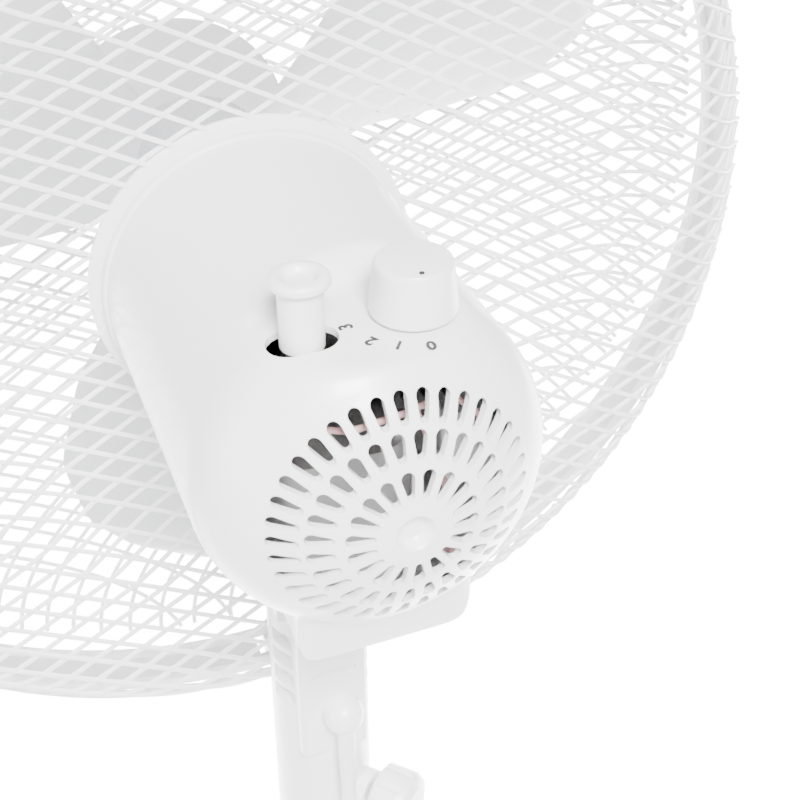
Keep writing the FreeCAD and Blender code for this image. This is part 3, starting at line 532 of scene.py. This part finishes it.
def coverRows():
    # (radius, depth) along the shell: the dome and the shoulder are arcs, the barrel is straight, and the
    # dimple is an eased step in the middle of the dome
    radius = cover["radius"]
    dome = arcPoints((0, 0), (22, -3.4), (40, -14), 300)
    dome = dome[np.r_[0:60:4, 60:300:9]]
    shoulder = arcPoints((40, -14), (50.4, -25.5), (radius, -42), 26)[1:]
    barrel = np.stack([np.full(66, radius), np.linspace(-44, cover["seam"], 66)], -1)
    rows = np.concatenate([dome, shoulder, barrel])
    rows[:, 1] -= cover["dimple"][1] * ease(-rows[:, 0], -cover["dimple"][0], -cover["dimple"][0] * 0.55)
    return rows


def makeCover():
    # the outline at every station and angle, and the same moved in by the wall along its normals
    rows = coverRows()
    a = np.linspace(0, 2 * np.pi, cover["around"], endpoint=False)
    r, y, angle = np.broadcast_arrays(rows[:, 0][None], rows[:, 1][None], a[:, None])
    big = np.where(r < 30, r, outline(r, y, angle))
    outer = np.stack([big * np.cos(angle), y, big * np.sin(angle)], -1)
    inner = outer - cover["wall"] * gridNormals(outer)
    inner[:, 0] = inner[:, 0].mean(axis=0)
    inner[:, -1, 1] = cover["seam"]
    shell = np.concatenate([outer, inner[:, ::-1]], axis=1)
    points = fromHead(shell)
    body = [(points, quadsOf(len(a), shell.shape[1], closeU=True, flip=True))]
    piece = addPiece("motor_rear_shell", body, "head", "coverWhite", ["motor_rear_cover"],
                     outward=True)
    cutters = []
    for count, low, high, narrow, wide, first in cover["vents"]:
        v, w = narrow / 2, wide / 2
        t = np.linspace(-np.pi / 2, np.pi / 2, 9)
        ends = [np.stack([high - w + w * np.cos(t), w * np.sin(t)], -1),
                np.stack([low + v - v * np.cos(t), -v * np.sin(t)], -1)]
        loop = np.concatenate(ends)
        for n in range(count):
            x, z = turned(loop[:, 0], loop[:, 1], math.radians(first + 360 / count * n))
            cutters.append(prism(np.stack([x, z], -1), -40, 6, "Y"))
    t = np.linspace(-np.pi / 2, np.pi / 2, 25)
    (px, py), (half, end) = cover["pull"], cover["pullHole"]
    right = np.stack([px + half + end * np.cos(t), py + end * np.sin(t)], -1)
    left = np.stack([px - half - end * np.cos(t), py - end * np.sin(t)], -1)
    cutters.append(prism(np.concatenate([right, left]), 30, 60, "Z"))
    cutters.append(prism(circle(*cover["dial"], cover["dialHole"], 32), 30, 60, "Z"))
    cutters.append(prism(circle(*cover["neckHole"], 64), -70, -55, "Z"))
    cut(piece, cutters)
    print("cover", len(piece.data.polygons), "faces")


def gridNormals(grid):
    # outward normals of a grid closed around and open along
    du = np.roll(grid, -1, axis=0) - np.roll(grid, 1, axis=0)
    dv = np.gradient(grid, axis=1)
    n = np.cross(du, dv)
    n[:, 0] = (0, 1, 0)
    length = np.linalg.norm(n, axis=-1, keepdims=True)
    return n / np.maximum(length, 1e-9)


def prism(loop, low, high, axis):
    # a closed prism over a flat loop, along Y for x,z loops or along Z for x,y loops
    n = len(loop)
    ends = []
    for level in (low, high):
        other = np.full(n, float(level))
        columns = [loop[:, 0], other, loop[:, 1]] if axis == "Y" else [loop[:, 0], loop[:, 1], other]
        ends.append(np.stack(columns, -1))
    i = np.arange(n)
    j = (i + 1) % n
    sides = np.stack([i, j, j + n, i + n], -1).tolist()
    return fromHead(np.concatenate(ends)), sides + [i[::-1].tolist(), (i + n).tolist()]


def cut(piece, cutters):
    # the cutters become one hidden mesh that is taken away from the piece
    tool = addObject("cutter", meshOf("cutter", cutters, 0, True))
    step = piece.modifiers.new("cut", "BOOLEAN")
    step.operation, step.solver, step.object = "DIFFERENCE", "EXACT", tool
    done = evaluated(piece)
    piece.modifiers.clear()
    piece.data = done
    smooth(done, 38)
    bpy.data.objects.remove(tool)


def makeFrontRing():
    # the cover's outline at the seam grown by each station's amount, or the plate's opening where it is None
    a = np.linspace(0, 2 * np.pi, cover["around"], endpoint=False)
    seam, face = cover["seam"], cover["face"]
    edge = outline(np.full_like(a, cover["radius"]), np.full_like(a, seam), a)
    stations = [(None, seam - 0.1), (0.3, seam - 0.1), (0.9, seam - 0.25), (1.2, seam - 0.8),
                (1.2, face + 1.3), (0.9, face + 0.5), (0.1, face), (None, face)]
    stations.append(stations[0])
    rows = [np.full_like(a, 26.0) if grow is None else edge + grow for grow, y in stations]
    ys = [y for grow, y in stations]
    rings = [np.stack([r * np.cos(a), np.full_like(a, y), r * np.sin(a)], -1) for r, y in zip(rows, ys)]
    grid = np.stack(rings, 1)
    body = [(fromHead(grid), quadsOf(len(a), len(rows), closeU=True, flip=True))]
    piece = addPiece("motor_front_ring", body, "head", "coverWhite", ["motor_front_cover"],
                     outward=True)
    count, out, radius, first = cover["ringHoles"]
    centres = [turned(out, 0, math.radians(first + 360 / count * n)) for n in range(count)]
    cut(piece, [prism(circle(x, z, radius, 24), -170, -140, "Y") for x, z in centres])


makeCover()
makeFrontRing()


# knobs and digits
knobs = {
    "pullLine": [(0, 43.2), (6.35, 43.2), (6.35, 61.2), (6.9, 62.3), (8.5, 62.9), (8.6, 64.6), (8.0, 65.6),
                 (5.8, 65.9), (4.8, 65.2), (3.9, 63.7), (0, 63.3)],
    "dialLine": [(0, 46.0), (12.6, 46.0), (12.9, 46.8), (11.5, 61.0), (10.9, 62.2), (0, 62.4)],
    "dot": (-14.0, -31.4, 0.8),
    "digits": [("0", -13.0, -22.0), ("1", -4.9, -25.3), ("2", 1.4, -30.0), ("3", 5.4, -39.3)],
    "digitSize": 5.6,
}


def makeKnobs():
    # turned profiles for both knobs and the dot, and raised digits whose tops point away from the dial
    pull = lathe(knobs["pullLine"], "Z", (*cover["pull"], 0), 72, 0.5)
    addPiece("pull_knob", [(fromHead(pull[0]), pull[1])], "pull_control", "knobWhite",
             ["oscillation_knob"], outward=True, sharp=50)
    dial = lathe(knobs["dialLine"], "Z", (*cover["dial"], 0), 96, 1.3)
    addPiece("dial_knob", [(fromHead(dial[0]), dial[1])], "dial", "knobWhite",
             ["speed_knob"], outward=True, sharp=50)
    x, y, r = knobs["dot"]
    dot = lathe([(0, 62.15), (r, 62.15), (r, 62.43), (0, 62.43)], "Z", (x, y, 0), 20)
    addPiece("dial_dot", [(fromHead(dot[0]), dot[1])], "dial", "inkBlack", outward=True)
    for word, x, y in knobs["digits"]:
        curve = bpy.data.curves.new("digit", "FONT")
        curve.body, curve.size, curve.extrude = word, knobs["digitSize"] * mm, 0.00006
        curve.align_x, curve.align_y = "CENTER", "CENTER"
        curve.resolution_u = 6
        curve.offset = 0.00016
        text = addObject("digit", curve)
        mesh = evaluated(text)
        away = math.atan2(y - cover["dial"][1], x - cover["dial"][0]) - math.pi / 2
        place = fromHead((x, y, cover["platform"] + 0.02))
        mesh.transform(Matrix.Translation(place.tolist()) @ Matrix.Rotation(away, 4, "Z"))
        mesh.materials.clear()
        mesh.materials.append(finishes["inkBlack"])
        piece = addObject("digit_" + word, mesh)
        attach(piece, "head")
        bpy.data.objects.remove(text)
    print("knobs and", len(knobs["digits"]), "digits")


makeKnobs()


# blade
blade = {
    # radius, chord, pitch in degrees and the depth of the section's middle
    "stations": [(27, 44, 42, -232), (60, 84, 36, -231), (100, 128, 29, -230), (140, 148, 23, -229),
                 (168, 128, 19, -228), (182, 92, 18, -228), (189, 46, 18, -228)],
    "turn": 30.0, "along": 60, "across": 36,
    "root": 27.0, "tip": 189.0,
    "thick": (1.3, 2.0),               # at the tip, and what the root adds
    "camber": 0.07,                    # height of the arch over the chord
    "hub": [(4, -256), (20, -256), (28, -253), (31, -246), (31, -212), (28.5, -212), (28.5, -244), (25, -250),
            (9, -251.5), (9, -214), (4, -214), (4, -256)],
    "rib": (8.8, 28.8, 0.8, -250, -218),   # inner end, outer end, half width, front and rear
}


def makeBlade():
    # a section at each radius: an arch of camber times the chord times (1 - s^2), thickened by the root of
    # (1 - s^8), turned by the pitch; chord, pitch and place follow the stations
    table = np.array(blade["stations"], float)
    t = np.linspace(0, 1, blade["along"])
    root, tip = blade["root"], blade["tip"]
    r = root + (tip - root) * np.sin(t * np.pi / 2) ** 0.9
    chord, pitch, middle = (np.interp(r, table[:, 0], table[:, k]) for k in (1, 2, 3))
    for _ in range(3):
        chord[1:-1] = (chord[:-2] + 2 * chord[1:-1] + chord[2:]) / 4
    pitch = np.radians(pitch)
    thick = blade["thick"][0] + blade["thick"][1] * (1 - r / tip)
    s = np.linspace(-1, 1, blade["across"])
    full = (1 - s ** 8) ** 0.5
    half, camber = chord[:, None] / 2 * s, blade["camber"] * chord[:, None] * (1 - s * s)
    sides = []
    for sign in (1, -1):
        h = camber + sign * thick[:, None] / 2 * np.maximum(full, 0.02)
        y = middle[:, None] - half * np.sin(pitch)[:, None] + h * np.cos(pitch)[:, None]
        w = half * np.cos(pitch)[:, None] + h * np.sin(pitch)[:, None]
        sides.append(np.stack([r[:, None] + 0 * w, y, w], -1))
    ring = np.concatenate([sides[0], sides[1][:, ::-1]], axis=1)
    n = ring.shape[1]
    faces = quadsOf(len(r), n, closeV=True).tolist() + [list(range(n)), [len(r) * n - 1 - k for k in range(n)]]
    parts = []
    for k in range(3):
        x, z = turned(ring[..., 0], ring[..., 2], math.radians(blade["turn"] + 120 * k))
        parts.append((fromHead(np.stack([x, ring[..., 1], z], -1)), faces))
    hub = lathe(blade["hub"], "Y")
    parts.append((fromHead(hub[0]), hub[1]))
    near, far, half, front, rear = blade["rib"]
    loop = np.array([(near, -half), (far, -half), (far, half), (near, half)])
    for k in range(12):
        x, z = turned(loop[:, 0], loop[:, 1], math.radians(30 * k))
        parts.append(prism(np.stack([x, z], -1), front, rear, "Y"))
    addPiece("blade_surface", parts, "rotor", "bladeShadedGrey", ["fan_blade"], weld=0,
             outward=True)


makeBlade()


# cord
cord = {
    "across": 5.5,
    # from the exit down the pole to the floor
    "route": [(-2, 24.5, 722), (-2, 25.5, 688), (0, 31, 640), (2, 38, 575), (3, 44, 500), (4, 50, 420),
              (4, 57, 340), (5, 65, 260), (6, 74, 190), (7, 83, 130), (8, 92, 82), (9, 102, 44),
              (10.5, 116, 15), (12.2, 136, 2.8)],
    "coilAt": (48.0, 140.0), "coilRadius": 33.0,
    "first": 157.8, "turns": 4.188,    # angle where the coil starts, in degrees, and its turns
    # how far out of the coil's radius each turn lies, and how high
    "levels": [(2.9, 2.8), (-2.9, 2.8), (-2.9, 8.45), (2.9, 8.45), (2.9, 8.45)],
}


def makeCord():
    # the route, the coil and a short tail make one smooth line, which a round tube follows; the coil has lower
    # outer, lower inner, upper inner and upper outer turns, and each change of place takes a sixth of a turn
    n = int(cord["turns"] * 24)
    turn = np.linspace(0, cord["turns"], n)
    levels = np.array(cord["levels"])
    base = np.minimum(turn.astype(int), 4)
    nxt = np.minimum(base + 1, 4)
    share = ease(turn - base, 0.82, 1.0)[:, None]
    place = levels[base] * (1 - share) + levels[nxt] * share
    a = np.radians(cord["first"] - 360 * turn)
    r = cord["coilRadius"] + place[:, 0]
    coil = np.stack([cord["coilAt"][0] + r * np.cos(a), cord["coilAt"][1] + r * np.sin(a), place[:, 1]], -1)
    tail = np.array([(coil[-1, 0] + 6, coil[-1, 1], 7.6), (coil[-1, 0] + 14, coil[-1, 1], 7.0)])
    points = np.concatenate([np.array(cord["route"], float), coil, tail]) * mm
    curve = bpy.data.curves.new("cordLine", "CURVE")
    curve.dimensions = "3D"
    spline = curve.splines.new("NURBS")
    spline.points.add(len(points) - 1)
    spline.points.foreach_set("co", np.c_[points, np.ones(len(points))].ravel())
    spline.order_u = 3
    spline.use_endpoint_u = True
    spline.resolution_u = 5
    holder = bpy.data.objects.new("cordLine", curve)
    line = bpy.data.meshes.new_from_object(holder)
    path = np.empty(len(line.vertices) * 3)
    line.vertices.foreach_get("co", path)
    path = path.reshape(-1, 3)
    bpy.data.objects.remove(holder)
    keep = np.r_[True, np.linalg.norm(np.diff(path, axis=0), axis=1) > 1e-5]
    path = path[keep]
    tube = tubes([path], cord["across"] / 2 * mm, 14, facing=(0.31, 0.2, 0.93))
    piece = addPiece("mains_cord", tube, None, "cordWhite", ["cord_run", "cord_coil"], weld=1e-7,
                     outward=True)
    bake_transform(piece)


makeCord()


# stage: floor, sky and lamps
stage = {
    "horizon": 0.75, "zenith": 0.60, "floorGlow": 15.0, "glowAt": (-0.9, -2.1, 0), "glowTo": (1.9, 2.6),
    "lights": [("keyLight", (0.2, 1.7, 2.7), 0.8, 270.0), ("sideLight", (2.2, 0.2, 1.1), 1.2, 34.0)],
}


def makeStage():
    floor = addObject("floor", bpy.data.meshes.new("floor"))
    floor.data.from_pydata([(-40, -40, 0), (40, -40, 0), (40, 40, 0), (-40, 40, 0)], [], [(0, 1, 2, 3)])
    s = Shade(bpy.data.materials.new("floorPaleGlowing"))
    tone = s.mix(s.noise(3.0, 2.0), (0.88, 0.88, 0.88), (0.92, 0.92, 0.92))
    # painted light: the floor glows, brightest in a pool in front of the fan and fading over the last stretch of
    # that pool's radius; this glow also lights the fan from below
    away = s.node("ShaderNodeVectorMath", {"operation": "DISTANCE"}, {0: s.here(), 1: stage["glowAt"]}, out=1)
    full, none = stage["glowTo"]
    glow = ((none - away) / (none - full)).clamp() + 0.04
    colour = s.mix(glow.clamp(), (0, 0, 0), (1, 1, 1))
    floor.data.materials.append(s.done({"Base Color": tone, "Roughness": 0.9, "Emission Color": colour,
                                        "Emission Strength": stage["floorGlow"]}))
    # the sky is a little brighter at the horizon than overhead, so upward faces fall into a soft grey
    world = bpy.data.worlds.new("studio")
    bpy.context.scene.world = world
    sky = Shade(world)
    direction = sky.node("ShaderNodeTexCoord")
    height = sky.node("ShaderNodeSeparateXYZ", {}, {0: direction}, out=2)
    strength = sky.node("ShaderNodeMapRange", {}, {0: height, 1: 0.0, 2: 0.9, 3: stage["horizon"],
                                                   4: stage["zenith"]})
    light = sky.node("ShaderNodeBackground", {}, {"Color": (1, 1, 1), "Strength": strength})
    sky.node("ShaderNodeOutputWorld", {}, {"Surface": light})
    for name, place, size, power in stage["lights"]:
        light = bpy.data.lights.new(name, "AREA")
        light.shape, light.size, light.energy = "SQUARE", size, power
        lamp = addObject(name, light)
        aim = Vector((0, 0, 0.9)) - Vector(place)
        lamp.matrix_world = Matrix.Translation(place) @ aim.to_track_quat("-Z", "Y").to_matrix().to_4x4()
    print("stage with", len(stage["lights"]), "lamps")


makeStage()
